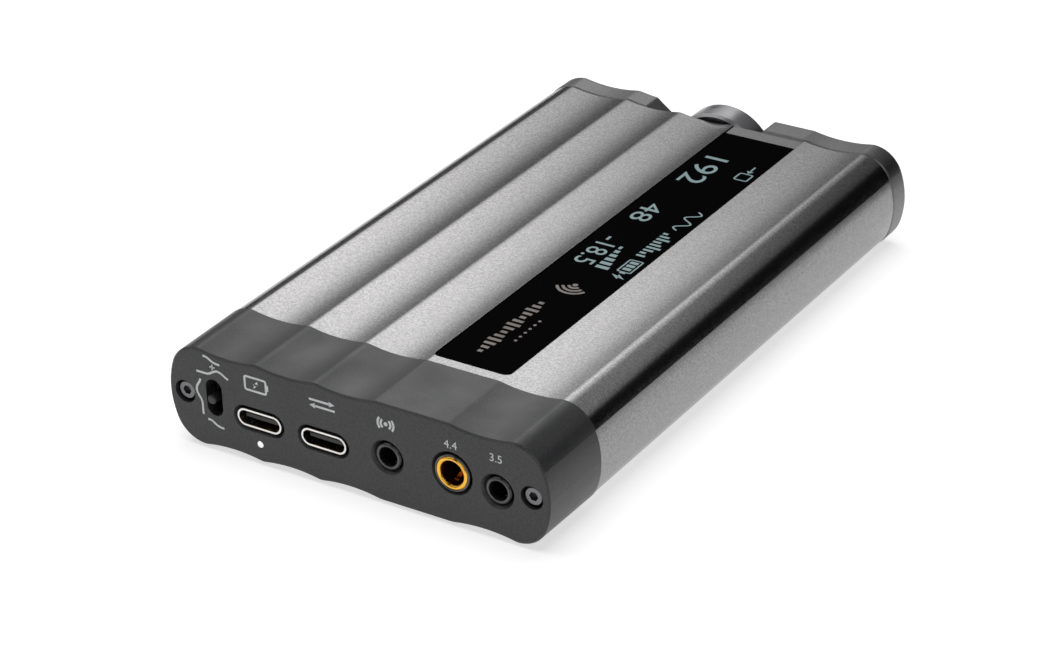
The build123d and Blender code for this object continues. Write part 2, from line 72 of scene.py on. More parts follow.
# ---------------------------------------------------------------- material helpers
class Nodes:
    """Small wrapper that makes a node tree read like a list of steps."""

    def __init__(self, name):
        self.material = bpy.data.materials.new(name)
        self.material.use_nodes = True
        self.tree = self.material.node_tree
        self.tree.nodes.clear()
        self.out = self.add("ShaderNodeOutputMaterial")
        self.where = self.add("ShaderNodeTexCoord").outputs["Object"]

    def add(self, kind, **values):
        node = self.tree.nodes.new(kind)
        for key, value in values.items():
            setattr(node, key, value)
        return node

    def link(self, source, target):
        self.tree.links.new(source, target)

    def put(self, target, value):
        """A socket gets a link, or a plain value on the socket itself."""
        if isinstance(value, bpy.types.NodeSocket):
            self.link(value, target)
        else:
            target.default_value = value

    def noise(self, size_mm, detail=2.0, rough=0.5, stretch=None):
        """Noise with features of about this size; stretch lengthens them per axis."""
        vector = self.where
        if stretch:
            mapping = self.add("ShaderNodeMapping")
            mapping.inputs["Scale"].default_value = [1.0 / s for s in stretch]
            self.link(self.where, mapping.inputs["Vector"])
            vector = mapping.outputs["Vector"]
        node = self.add("ShaderNodeTexNoise")
        self.link(vector, node.inputs["Vector"])
        node.inputs["Scale"].default_value = 1.0 / (size_mm * MM)
        node.inputs["Detail"].default_value = detail
        node.inputs["Roughness"].default_value = rough
        return node.outputs["Fac"]

    def remap(self, value, low, high, to_low, to_high):
        node = self.add("ShaderNodeMapRange", clamp=True)
        self.put(node.inputs["Value"], value)
        for key, number in (("From Min", low), ("From Max", high), ("To Min", to_low),
                            ("To Max", to_high)):
            node.inputs[key].default_value = number
        return node.outputs["Result"]

    def math(self, operation, a, b=0.0):
        node = self.add("ShaderNodeMath", operation=operation)
        self.put(node.inputs[0], a)
        self.put(node.inputs[1], b)
        return node.outputs[0]

    def mix(self, amount, first, second):
        node = self.add("ShaderNodeMix", data_type="RGBA")
        self.put(node.inputs["Factor"], amount)
        for key, value in (("A", first), ("B", second)):
            socket = [s for s in node.inputs if s.name == key and s.type == "RGBA"][0]
            if isinstance(value, (tuple, list)):
                value = (*value[:3], 1.0)
            self.put(socket, value)
        return [s for s in node.outputs if s.type == "RGBA"][0]

    def bump(self, height, depth_mm, normal=None):
        node = self.add("ShaderNodeBump")
        node.inputs["Strength"].default_value = 1.0
        node.inputs["Distance"].default_value = depth_mm * MM
        self.put(node.inputs["Height"], height)
        if normal is not None:
            self.link(normal, node.inputs["Normal"])
        return node.outputs["Normal"]

    def soft_edge(self, radius_mm):
        """Normals rounded over sharp edges."""
        node = self.add("ShaderNodeBevel", samples=6)
        node.inputs["Radius"].default_value = radius_mm * MM
        return node.outputs["Normal"]

    def edge_mask(self, radius_mm):
        """0 on open surfaces and up to 1 near edges."""
        node = self.add("ShaderNodeBevel", samples=6)
        node.inputs["Radius"].default_value = radius_mm * MM
        geometry = self.add("ShaderNodeNewGeometry")
        dot = self.add("ShaderNodeVectorMath", operation="DOT_PRODUCT")
        self.link(node.outputs["Normal"], dot.inputs[0])
        self.link(geometry.outputs["Normal"], dot.inputs[1])
        return self.remap(dot.outputs["Value"], 0.995, 0.8, 0.0, 1.0)

    def surface(self, color, roughness, metallic=0.0, normal=None, **more):
        shader = self.add("ShaderNodeBsdfPrincipled")
        if isinstance(color, (tuple, list)):
            color = (*color[:3], 1.0)
        self.put(shader.inputs["Base Color"], color)
        self.put(shader.inputs["Roughness"], roughness)
        shader.inputs["Metallic"].default_value = metallic
        if normal is not None:
            self.link(normal, shader.inputs["Normal"])
        for key, value in more.items():
            self.put(shader.inputs[key.replace("_", " ")], value)
        self.link(shader.outputs["BSDF"], self.out.inputs["Surface"])
        return self.material


def shade(color, factor):
    return tuple(min(1.0, c * factor) for c in color[:3])


def finish(name, color, roughness, metallic=0.0, grain_mm=0.2, grain=0.08, depth_mm=0.002,
           cloud_mm=9.0, cloud=0.05, rough_swing=0.05, edge_mm=0.12, wear=0.0, stretch=None, **more):
    """A finish with a fine grain, a slow cloudiness, rounded edges and a little edge wear."""
    n = Nodes(name)
    fine = n.noise(grain_mm, detail=2.0, rough=0.6, stretch=stretch)
    slow = n.noise(cloud_mm, detail=3.0)
    tone = n.mix(n.remap(fine, 0.3, 0.7, 0.0, 1.0), shade(color, 1 - grain), shade(color, 1 + grain))
    cloudy = n.remap(slow, 0.35, 0.65, 0.0, cloud)
    tone = n.mix(cloudy, tone, shade(color, 0.5))
    if wear > 0:
        scuff = n.math("MULTIPLY", n.edge_mask(0.35), n.remap(slow, 0.3, 0.7, 0.3 * wear, wear))
        tone = n.mix(scuff, tone, shade(color, 1.9))
    gloss = n.remap(slow, 0.3, 0.7, roughness - rough_swing, roughness + rough_swing)
    normal = n.soft_edge(edge_mm) if edge_mm else None
    normal = n.bump(fine, depth_mm, normal)
    return n.surface(tone, gloss, metallic, normal, **more)


# ---------------------------------------------------------------- finishes
def blasted_aluminium(name, color, roughness, pit_mm, depth_mm, grain):
    """Bead-blasted, anodised aluminium: every bead leaves a dimple of its own brightness."""
    n = Nodes(name)
    beads = n.add("ShaderNodeTexVoronoi")
    beads.inputs["Scale"].default_value = 1.0 / (pit_mm * MM)
    n.link(n.where, beads.inputs["Vector"])
    split = n.add("ShaderNodeSeparateColor")
    n.link(beads.outputs["Color"], split.inputs[0])
    coarse = n.noise(pit_mm * 2.4, detail=1.0)
    slow = n.noise(14.0, detail=3.0)
    grains = n.math("ADD", n.math("MULTIPLY", split.outputs[0], 0.75), n.math("MULTIPLY", coarse, 0.25))
    tone = n.mix(n.remap(grains, 0.12, 0.88, 0.0, 1.0), shade(color, 1 - grain), shade(color, 1 + grain))
    tone = n.mix(n.remap(slow, 0.35, 0.7, 0.0, 0.05), tone, shade(color, 0.6))
    tone = n.mix(n.math("MULTIPLY", n.edge_mask(0.25), 0.25), tone, shade(color, 1.5))
    gloss = n.remap(coarse, 0.3, 0.7, roughness, roughness + 0.03)
    normal = n.bump(coarse, depth_mm, n.soft_edge(0.12))
    return n.surface(tone, gloss, 1.0, normal)


def turned_metal(name, color, roughness, axis_x=0.0, axis_z=10.0, groove_mm=0.09, depth_mm=0.0015):
    """Turned metal: fine rings round an axis along Y."""
    n = Nodes(name)
    mapping = n.add("ShaderNodeMapping")
    mapping.inputs["Location"].default_value = (-axis_x * MM, 0.0, -axis_z * MM)
    n.link(n.where, mapping.inputs["Vector"])
    split = n.add("ShaderNodeSeparateXYZ")
    n.link(mapping.outputs["Vector"], split.inputs[0])
    x, y, z = split.outputs[0], split.outputs[1], split.outputs[2]
    far = n.math("SQRT", n.math("ADD", n.math("MULTIPLY", x, x), n.math("MULTIPLY", z, z)))
    join = n.add("ShaderNodeCombineXYZ")
    n.link(far, join.inputs[0])
    n.link(y, join.inputs[1])
    rings = n.add("ShaderNodeTexNoise")
    rings.inputs["Scale"].default_value = 1.0 / (groove_mm * MM)
    rings.inputs["Detail"].default_value = 2.0
    n.link(join.outputs[0], rings.inputs["Vector"])
    ring = rings.outputs["Fac"]
    slow = n.noise(6.0)
    tone = n.mix(n.remap(ring, 0.3, 0.7, 0.0, 1.0), shade(color, 0.9), shade(color, 1.1))
    tone = n.mix(n.math("MULTIPLY", n.edge_mask(0.25), 0.4), tone, shade(color, 1.6))
    gloss = n.remap(slow, 0.3, 0.7, roughness - 0.03, roughness + 0.05)
    normal = n.bump(ring, depth_mm, n.soft_edge(0.1))
    return n.surface(tone, gloss, 1.0, normal, Anisotropic=0.3)


def smoked_glass(name):
    """Dark display cover: black, coated against glare, with faint dust and a hard edge."""
    n = Nodes(name)
    dust = n.noise(0.35, detail=4.0, rough=0.7)
    haze = n.noise(18.0, detail=2.0)
    specks = n.remap(dust, 0.74, 0.82, 0.0, 0.06)
    tone = n.mix(specks, (0.0018, 0.0018, 0.002), (0.3, 0.3, 0.3))
    gloss = n.remap(haze, 0.3, 0.7, 0.05, 0.11)
    normal = n.bump(haze, 0.004, n.soft_edge(0.08))
    return n.surface(tone, gloss, 0.0, normal, Specular_IOR_Level=0.0006)


def printed_board(name):
    """Solder mask over copper: a fine lattice of traces and pads."""
    n = Nodes(name)
    cells = n.add("ShaderNodeTexVoronoi", feature="DISTANCE_TO_EDGE", distance="CHEBYCHEV")
    cells.inputs["Scale"].default_value = 1.0 / (1.6 * MM)
    n.link(n.where, cells.inputs["Vector"])
    trace = n.remap(cells.outputs["Distance"], 0.06, 0.1, 1.0, 0.0)
    pads = n.add("ShaderNodeTexVoronoi")
    pads.inputs["Scale"].default_value = 1.0 / (3.1 * MM)
    n.link(n.where, pads.inputs["Vector"])
    pad = n.remap(pads.outputs["Distance"], 0.16, 0.2, 1.0, 0.0)
    tone = n.mix(trace, (0.006, 0.02, 0.03), (0.012, 0.045, 0.06))
    pad_gold = (0.55, 0.42, 0.2)
    tone = n.mix(pad, tone, pad_gold)
    normal = n.bump(trace, 0.03, n.soft_edge(0.1))
    return n.surface(tone, n.remap(pad, 0.0, 1.0, 0.38, 0.25), 0.0, normal)


PIXEL_ROW_MM = 0.3


def glow(name, color, strength, base=(0.02, 0.02, 0.02)):
    """A lit pattern under glass: fine pixel rows over a soft unevenness."""
    n = Nodes(name)
    rows = n.add("ShaderNodeTexWave", wave_type="BANDS", bands_direction="Y")
    rows.inputs["Scale"].default_value = 0.5 / (PIXEL_ROW_MM * MM) / 3.1416
    n.link(n.where, rows.inputs["Vector"])
    patch = n.noise(3.0)
    level = n.math("MULTIPLY", n.remap(rows.outputs["Fac"], 0.0, 1.0, 0.8, 1.0),
                   n.remap(patch, 0.3, 0.7, 0.92, 1.05))
    lit = n.math("MULTIPLY", level, strength)
    return n.surface(base, 0.3, 0.0, None, Emission_Color=(*color, 1.0), Emission_Strength=lit)


CASE_GREY = (0.252, 0.248, 0.249)
MATERIALS = {
    "anodised_case": blasted_aluminium("anodised_case", CASE_GREY, 0.215, 0.21, 0.003, 0.21),
    "front_metal": blasted_aluminium("front_metal", (0.188, 0.186, 0.19), 0.4, 0.2, 0.002, 0.13),
    "cap_plastic": finish("cap_plastic", (0.0305, 0.031, 0.0328), 0.36, grain_mm=0.2, grain=0.5,
                          depth_mm=0.004, cloud=0.04, wear=0.05, Specular_IOR_Level=0.41),
    "display_cover": smoked_glass("display_cover"),
    "knob_metal": turned_metal("knob_metal", (0.38, 0.38, 0.395), 0.28, depth_mm=0.0006),
    "button_metal": turned_metal("button_metal", (0.3, 0.3, 0.31), 0.28, groove_mm=0.06),
    "hub_brass": turned_metal("hub_brass", (0.72, 0.5, 0.2), 0.3),
    "shaft_steel": turned_metal("shaft_steel", (0.5, 0.5, 0.5), 0.25),
    "screw_steel": finish("screw_steel", (0.17, 0.17, 0.178), 0.36, 1.0, grain_mm=0.08, depth_mm=0.002,
                          edge_mm=0.08, wear=0.5),
    "bright_shell": finish("bright_shell", (0.74, 0.72, 0.69), 0.2, 1.0, grain_mm=0.1,
                           depth_mm=0.001, edge_mm=0.06, stretch=(1, 8, 1)),
    "black_moulding": finish("black_moulding", (0.012, 0.012, 0.013), 0.4, grain_mm=0.1, grain=0.2,
                             depth_mm=0.002, edge_mm=0.08),
    "dark_sleeve": finish("dark_sleeve", (0.014, 0.014, 0.015), 0.24, grain_mm=0.1, grain=0.1,
                          depth_mm=0.001, edge_mm=0.1),
    "gold_sleeve": finish("gold_sleeve", (0.84, 0.46, 0.06), 0.2, 1.0, grain_mm=0.12, grain=0.06,
                          depth_mm=0.001, edge_mm=0.08),
    # painted shade: a darker copy of the gold for the inside of the bores
    "gold_bore": finish("gold_bore", (0.3, 0.13, 0.015), 0.3, 1.0, grain_mm=0.1, depth_mm=0.001,
                        edge_mm=0.04, stretch=(1, 6, 1)),
    "collar_steel": finish("collar_steel", (0.11, 0.11, 0.115), 0.3, 1.0, grain_mm=0.1,
                           depth_mm=0.001, edge_mm=0.06),
    "light_pipe": finish("light_pipe", (0.8, 0.8, 0.79), 0.35, grain=0.03,
                         Emission_Color=(1.0, 1.0, 1.0, 1.0), Emission_Strength=0.45),
    "led_package": finish("led_package", (0.75, 0.72, 0.6), 0.4),
    "foot_rubber": finish("foot_rubber", (0.018, 0.018, 0.019), 0.72, grain_mm=0.22, grain=0.25,
                     depth_mm=0.02, wear=0.1),
    "board_green": printed_board("board_green"),
    "battery_wrap": finish("battery_wrap", (0.05, 0.09, 0.22), 0.3, grain_mm=1.2, depth_mm=0.02,
                           cloud=0.2),
    "switch_steel": finish("switch_steel", (0.5, 0.49, 0.47), 0.28, 1.0, grain_mm=0.12,
                           stretch=(6, 1, 1)),
    "capacitor_can": finish("capacitor_can", (0.55, 0.55, 0.56), 0.25, 1.0, grain_mm=0.15,
                            stretch=(1, 1, 8)),
    "oled_glass": finish("oled_glass", (0.01, 0.01, 0.012), 0.12, grain=0.05, depth_mm=0.001),
    "ferrite": finish("ferrite", (0.03, 0.03, 0.032), 0.6, grain_mm=0.3, depth_mm=0.01),
    "flex_amber": finish("flex_amber", (0.42, 0.2, 0.03), 0.3, grain_mm=0.6),
    "adhesive": finish("adhesive", (0.02, 0.02, 0.02), 0.8, grain_mm=0.4, depth_mm=0.02),
    "connector_ivory": finish("connector_ivory", (0.72, 0.68, 0.55), 0.45),
    "lead_jacket": finish("lead_jacket", (0.35, 0.02, 0.02), 0.4, grain_mm=0.3),
    "ink": finish("ink", (0.66, 0.67, 0.68), 0.5, grain_mm=0.12, grain=0.1, depth_mm=0.002,
                  edge_mm=0.0),
    "bronze_ink": finish("bronze_ink", (0.125, 0.106, 0.096), 0.35, 0.6, grain_mm=0.15, grain=0.12,
                         depth_mm=0.002, edge_mm=0.0),
    "pixels": glow("pixels", (0.3, 0.5, 0.52), 0.44),
}


def dress_nodes():
    """Each CAD node gets its finish by the name of its material slot."""
    fallback = MATERIALS["black_moulding"]
    for name, node in NODES.items():
        for index, slot in enumerate(node.data.materials):
            wanted = slot.name.split(".")[0] if slot else ""
            node.data.materials[index] = MATERIALS.get(wanted, fallback)
            if wanted not in MATERIALS:
                print("no finish for", name, wanted)
    for name in ("filter_switch_body", "sense_switch_body"):    # painted shade: the dark collar steel makes them as dark as the shaded slots they show in
        NODES[name].data.materials[0] = MATERIALS["collar_steel"]


dress_nodes()


# ---------------------------------------------------------------- flat artwork
class Face:
    """A flat face of the object to print on: right and up as seen from outside."""

    def __init__(self, origin, right, up):
        self.origin = Vector(origin) * MM
        self.right = Vector(right)
        self.up = Vector(up)
        self.out = self.right.cross(self.up)

    def at(self, a, b, height):
        return self.origin + (self.right * a + self.up * b + self.out * height) * MM


panel_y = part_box("rear_cap")[1].y / MM
REAR = Face((0, panel_y, 0), (-1, 0, 0), (0, 0, 1))
GLASS = Face((0, 0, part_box("display_glass")[1].z / MM), (0, 1, 0), (-1, 0, 0))


class Art:
    """Thin printed shapes on one face, gathered into one mesh."""

    def __init__(self, face, thick=0.02):
        self.face = face
        self.thick = thick
        self.verts = []
        self.faces = []

    def slab(self, outline):
        """A filled convex shape, raised by the ink's thickness."""
        start = len(self.verts)
        count = len(outline)
        for height in (self.thick, -0.01):
            self.verts += [self.face.at(a, b, height) for a, b in outline]
        self.faces.append([start + i for i in range(count)])
        for i in range(count):
            j = (i + 1) % count
            self.faces.append([start + i, start + count + i, start + count + j, start + j])

    def stroke(self, points, width, closed=False):
        """A line of constant width through these points, with mitred corners."""
        pts = [Vector((a, b)) for a, b in points]
        count = len(pts)
        left, right = [], []
        for i, p in enumerate(pts):
            before = pts[i - 1] if i or closed else None
            after = pts[(i + 1) % count] if i < count - 1 or closed else None
            ways = []
            if before is not None:
                ways.append((p - before).normalized())
            if after is not None:
                ways.append((after - p).normalized())
            mean = (ways[0] + ways[-1]).normalized()
            side = Vector((-mean.y, mean.x))
            flat = Vector((-ways[0].y, ways[0].x))
            reach = width / 2 / max(0.4, side.dot(flat))
            left.append(p + side * reach)
            right.append(p - side * reach)
        start = len(self.verts)
        for height in (self.thick, -0.01):
            for row in (left, right):
                self.verts += [self.face.at(q.x, q.y, height) for q in row]
        last = count if closed else count - 1
        for i in range(last):
            j = (i + 1) % count
            a, b, c, d = start + i, start + j, start + count + j, start + count + i
            self.faces.append([a, d, c, b])
            low = 2 * count
            self.faces.append([a, b, b + low, a + low])
            self.faces.append([d, d + low, c + low, c])
        return self

    def arc(self, centre, radius, start, end, width, steps=20):
        closed = abs(end - start) >= 359.9
        count = steps if closed else steps + 1
        points = []
        for i in range(count):
            angle = radians(start + (end - start) * i / steps)
            points.append((centre[0] + radius * cos(angle), centre[1] + radius * sin(angle)))
        return self.stroke(points, width, closed)

    def disc(self, centre, radius, steps=24):
        self.slab([(centre[0] + radius * cos(2 * pi * i / steps),
                    centre[1] + radius * sin(2 * pi * i / steps)) for i in range(steps)])
        return self

    def box(self, a0, a1, b0, b1):
        self.slab([(a0, b0), (a1, b0), (a1, b1), (a0, b1)])
        return self

    def frame(self, a0, a1, b0, b1, width, corner=0.3):
        """A rounded outline of a rectangle."""
        points = []
        for ca, cb, angle in ((a1 - corner, b0 + corner, -90), (a1 - corner, b1 - corner, 0),
                              (a0 + corner, b1 - corner, 90), (a0 + corner, b0 + corner, 180)):
            for step in range(5):
                turn = radians(angle + 22.5 * step)
                points.append((ca + corner * cos(turn), cb + corner * sin(turn)))
        return self.stroke(points, width, True)

    def digits(self, text, start, height, gap=0.02, squeeze=1.0):
        """Plain numerals with their lower left at start."""
        curve = bpy.data.curves.new("digits", "FONT")
        curve.body = text
        curve.size = height / 0.729
        curve.space_character = 1.0 + gap
        holder = bpy.data.objects.new("digits", curve)
        bpy.context.scene.collection.objects.link(holder)
        bpy.context.view_layer.update()
        mesh = bpy.data.meshes.new_from_object(holder)
        start_index = len(self.verts)
        base = min(v.co.x for v in mesh.vertices)
        count = len(mesh.vertices)
        for h in (self.thick, -0.01):
            for v in mesh.vertices:
                a = start[0] + (v.co.x - base) * squeeze
                self.verts.append(self.face.at(a, start[1] + v.co.y, h))
        for p in mesh.polygons:
            self.faces.append([start_index + i for i in p.vertices])
        edge_use = {}
        for p in mesh.polygons:
            for a, b in p.edge_keys:
                edge_use[(a, b)] = edge_use.get((a, b), 0) + 1
        for p in mesh.polygons:
            ring = list(p.vertices)
            for a, b in zip(ring, ring[1:] + ring[:1]):
                if edge_use[(min(a, b), max(a, b))] == 1:
                    i, j = start_index + a, start_index + b
                    self.faces.append([j, i, i + count, j + count])
        bpy.data.objects.remove(holder)
        return self

    def piece(self, name, material, slot, body="case"):
        mesh = bpy.data.meshes.new(name)
        mesh.from_pydata([tuple(v) for v in self.verts], [], self.faces)
        mesh.materials.append(MATERIALS[material])
        mesh.update()
        piece = bpy.data.objects.new(name, mesh)
        bpy.context.scene.collection.objects.link(piece)
        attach(piece, body)
        return piece


def curve_icon(art, a0, a1, b0, b1, width, kind):
    """A tiny response curve: level with a rise at the low end, or with a hump at the high end."""
    long, tall = a1 - a0, b1 - b0
    points = []
    for i in range(13):
        t = i / 12
        if kind == "low":
            lift = 1.0 / (1.0 + (t / 0.45) ** 4)
        else:
            lift = max(0.0, sin(pi * (t - 0.35) / 0.65)) ** 1.5 if t > 0.35 else 0.0
        points.append((a0 + long * t, b0 + tall * lift))
    art.stroke(points, width)


def panel_print():
    art = Art(REAR)
    line = 0.4
    curve_icon(art, -30.0, -26.6, 17.05, 18.0, line, "low")
    art.box(-28.75, -27.65, 16.15, 16.4)
    art.box(-28.32, -28.08, 15.75, 16.8)
    curve_icon(art, -31.6, -25.0, 14.75, 15.75, line, "high")
    turned = [(-30.9 - 1.0 * max(0.0, sin(pi * (t - 0.35) / 0.65)) ** 1.5 if t > 0.35 else -30.9,
               6.6 + 6.8 * t) for t in [i / 12 for i in range(13)]]
    art.stroke(turned, line)
    curve_icon(art, -30.0, -26.7, 4.85, 5.9, line, "low")
    # charge socket: battery outline with a bolt
    art.frame(-21.5, -17.2, 14.1, 16.6, line, 0.35)
    art.box(-17.0, -16.7, 14.8, 15.9)
    art.slab([(-19.9, 15.2), (-18.95, 15.2), (-18.8, 16.15)])
    art.slab([(-19.75, 14.55), (-18.75, 15.5), (-19.6, 15.5)])
    # data socket: arrows both ways
    art.stroke([(-8.4, 15.95), (-4.3, 15.95)], line)
    art.slab([(-4.4, 15.45), (-3.3, 15.95), (-4.4, 16.45)])
    art.stroke([(-7.4, 14.85), (-3.3, 14.85)], line)
    art.slab([(-7.3, 14.35), (-7.3, 15.35), (-8.4, 14.85)])
    # digital socket: a dot between two waves
    art.disc((6.75, 15.45), 0.38)
    art.arc((6.75, 15.45), 0.95, -50, 50, line)
    art.arc((6.75, 15.45), 0.95, 130, 230, line)
    art.arc((6.75, 15.45), 1.55, -40, 40, line)
    art.arc((6.75, 15.45), 1.55, 140, 220, line)
    # line sockets: plug sizes
    art.digits("4.4", (18.0, 14.6), 1.5)
    art.digits("3.5", (26.7, 14.6), 1.5)
    art.piece("panel_print", "ink", "cap_plastic")


def display_art():
    """Numerals and signs on the display; along the case is a, across it is b."""
    lit = Art(GLASS, 0.008)
    top = panel_y

    def along(v):
        return top - v

    lit.digits("192", (along(105.0), 6.2), 5.0, squeeze=1.3)
    lit.digits("48", (along(83.2), 6.4), 4.1, squeeze=1.3)
    lit.digits("-18.5", (along(68.4), 6.4), 4.1, squeeze=0.98)
    # source sign
    lit.frame(along(101.6), along(98.9), 15.2, 17.8, 0.32, 0.4)
    lit.stroke([(along(104.8), 16.5), (along(102.6), 16.5)], 0.34)
    lit.slab([(along(102.9), 15.8), (along(101.9), 16.5), (along(102.9), 17.2)])
    # level steps
    for i in range(6):
        a = along(66.0) + i * 1.55
        lit.box(a, a + 0.95, 11.1, 11.7 + 0.4 * i)
    # wave, meter
    wave = [(along(84.0) + 8.0 * i / 32, 16.5 + 1.15 * sin(2 * pi * i / 16)) for i in range(33)]
    lit.stroke(wave, 0.34)
    for i, tall in enumerate((1.0, 1.9, 2.6, 1.6, 2.2, 2.8, 2.0, 1.2, 1.7)):
        a = along(74.2) + i * 1.15
        lit.box(a, a + 0.6, 15.1, 15.1 + tall)
    # battery and bolt
    lit.frame(along(62.6), along(58.0), 15.2, 17.8, 0.3, 0.3)
    lit.box(along(57.9), along(57.4), 15.95, 17.05)
    for i in range(3):
        a = along(62.1) + i * 1.25
        lit.box(a, a + 0.85, 15.7, 17.3)
    lit.slab([(along(56.9), 16.3), (along(55.9), 16.3), (along(55.6), 18.0)])
    lit.slab([(along(56.6), 15.0), (along(55.3), 16.7), (along(56.3), 16.7)])
    lit.piece("display_signs", "pixels", "display_cover")

    dim = Art(GLASS, 0.008)
    for radius in (1.1, 2.1, 3.1):
        dim.arc((along(49.9), 11.8), radius, -62, 62, 0.55)
    dim.disc((along(49.9), 11.8), 0.5)
    for i in range(14):
        tall = (1.0, 1.7, 2.5, 1.8, 1.2, 2.1, 2.7, 2.0, 1.3, 1.9, 2.6, 2.2, 1.5, 0.9)[i]
        a = along(42.0) + i * 1.45
        dim.box(a, a + 0.75, 10.15 - tall / 2, 10.15 + tall / 2)
    for i in range(6):
        dim.disc((along(36.0) + i * 1.5, 13.4), 0.3)
    dim.piece("display_ornament", "bronze_ink", "display_cover")


def middle(name):
    """Middle of a node's box in X and Z, in millimetres."""
    low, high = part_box(name)
    return (low.x + high.x) / 2 / MM, (low.z + high.z) / 2 / MM


def front_print():
    """Plug sizes over the front sockets and a small sign over each button."""
    art = Art(Face((0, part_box("front_cap")[0].y / MM, 0), (1, 0, 0), (0, 0, 1)))
    for name, text, back in (("headphone_balanced", "4.4", 1.35), ("headphone_single", "3.5", 1.25)):
        art.digits(text, (middle(name + "_sleeve")[0] - back, 14.5), 1.4)
    x = middle("input_button")[0]
    art.stroke([(x - 1.3, 14.2), (x + 0.3, 14.2)], 0.3)
    art.slab([(x + 0.1, 13.75), (x + 0.95, 14.2), (x + 0.1, 14.65)])
    art.box(x + 1.1, x + 1.4, 13.6, 14.8)
    x = middle("effect_button")[0]
    curve_icon(art, x - 1.4, x + 1.4, 13.7, 14.6, 0.3, "high")
    art.piece("front_print", "ink", "front_metal")


def under_print():
    """Three dots of growing size beside the sliding switch underneath, one for each position."""
    low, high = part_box("sense_switch_lever")
    x, y = (low.x + high.x) / 2, (low.y + high.y) / 2
    hit, place = NODES["body_shell"].ray_cast((x, y + 0.004, -0.1), (0, 0, 1))[:2]
    if not hit:
        return
    art = Art(Face((0, 0, place.z / MM), (1, 0, 0), (0, -1, 0)))
    for step, radius in ((-1, 0.25), (0, 0.38), (1, 0.5)):
        art.disc((x / MM + 2.0 * step, -y / MM - 4.0), radius)
    art.piece("under_print", "ink", "anodised_case")


panel_print()
front_print()
under_print()
display_art()


# ---------------------------------------------------------------- sockets' insides
def solid(name, verts, faces, material, body="case"):
    mesh = bpy.data.meshes.new(name)
    mesh.from_pydata([tuple(Vector(v) * MM) for v in verts], [], faces)
    mesh.materials.append(MATERIALS[material])
    mesh.update()
    piece = bpy.data.objects.new(name, mesh)
    bpy.context.scene.collection.objects.link(piece)
    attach(piece, body)
    return piece


def add_box(verts, faces, x0, x1, y0, y1, z0, z1):
    start = len(verts)
    verts += [(x, y, z) for x in (x0, x1) for y in (y0, y1) for z in (z0, z1)]
    for a, b, c, d in ((0, 1, 3, 2), (4, 6, 7, 5), (0, 4, 5, 1), (2, 3, 7, 6), (0, 2, 6, 4),
                       (1, 5, 7, 3)):
        faces.append([start + a, start + b, start + c, start + d])


def socket_contacts():
    """Gold pads on both faces of each flat socket's tongue."""
    for name in ("charge", "data"):
        low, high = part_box(f"{name}_usb_tongue")
        mid_x = (low.x + high.x) / 2 / MM
        tip_y = high.y / MM
        mid_z = (low.z + high.z) / 2 / MM
        verts, faces = [], []
        for i in range(12):
            x = mid_x + (i - 5.5) * 0.5
            long = 1.9 if i in (0, 3, 8, 11) else 1.5
            for side in (1, -1):
                z = mid_z + side * 0.35
                add_box(verts, faces, x - 0.13, x + 0.13, tip_y - 0.5 - long, tip_y - 0.5,
                        min(z, z + side * 0.03), max(z, z + side * 0.03))
        solid(f"{name}_contacts", verts, faces, "gold_sleeve")


def lathe(name, x, z, profile, material, body="case", closed=False, steps=48):
    """A profile of (radius, y) points turned about the axis along Y through (x, z)."""
    verts, faces = [], []
    count = len(profile)
    for i in range(steps):
        turn = 2 * pi * i / steps
        verts += [(x + r * cos(turn), y, z + r * sin(turn)) for r, y in profile]
    for i in range(steps):
        for j in range(count if closed else count - 1):
            k = (j + 1) % count
            a, b = i * count, ((i + 1) % steps) * count
            faces.append([a + j, a + k, b + k, b + j])
    piece = solid(name, verts, faces, material, body)
    for polygon in piece.data.polygons:
        polygon.use_smooth = True
    return piece


SOCKET_BORES = {"digital_in": 1.8, "line_single": 1.8, "line_balanced": 2.25, "headphone_single": 1.8,
                "headphone_balanced": 2.25}


def leaf(verts, faces, x, z, turn, out, mouth, path, half):
    """A bent spring strip in a bore: path holds (radius, depth) points."""
    start = len(verts)
    across = (-sin(turn), cos(turn))
    for radius, depth in path:
        for thick in (0.0, 0.1):
            for side in (-half, half):
                r = radius - thick
                verts.append((x + r * cos(turn) + side * across[0], mouth - out * depth,
                              z + r * sin(turn) + side * across[1]))
    for i in range(len(path) - 1):
        a = start + 4 * i
        faces += [[a, a + 1, a + 5, a + 4], [a + 2, a + 6, a + 7, a + 3],
                  [a, a + 4, a + 6, a + 2], [a + 1, a + 3, a + 7, a + 5]]
    last = start + 4 * (len(path) - 1)
    faces += [[start, start + 2, start + 3, start + 1], [last, last + 1, last + 3, last + 2]]


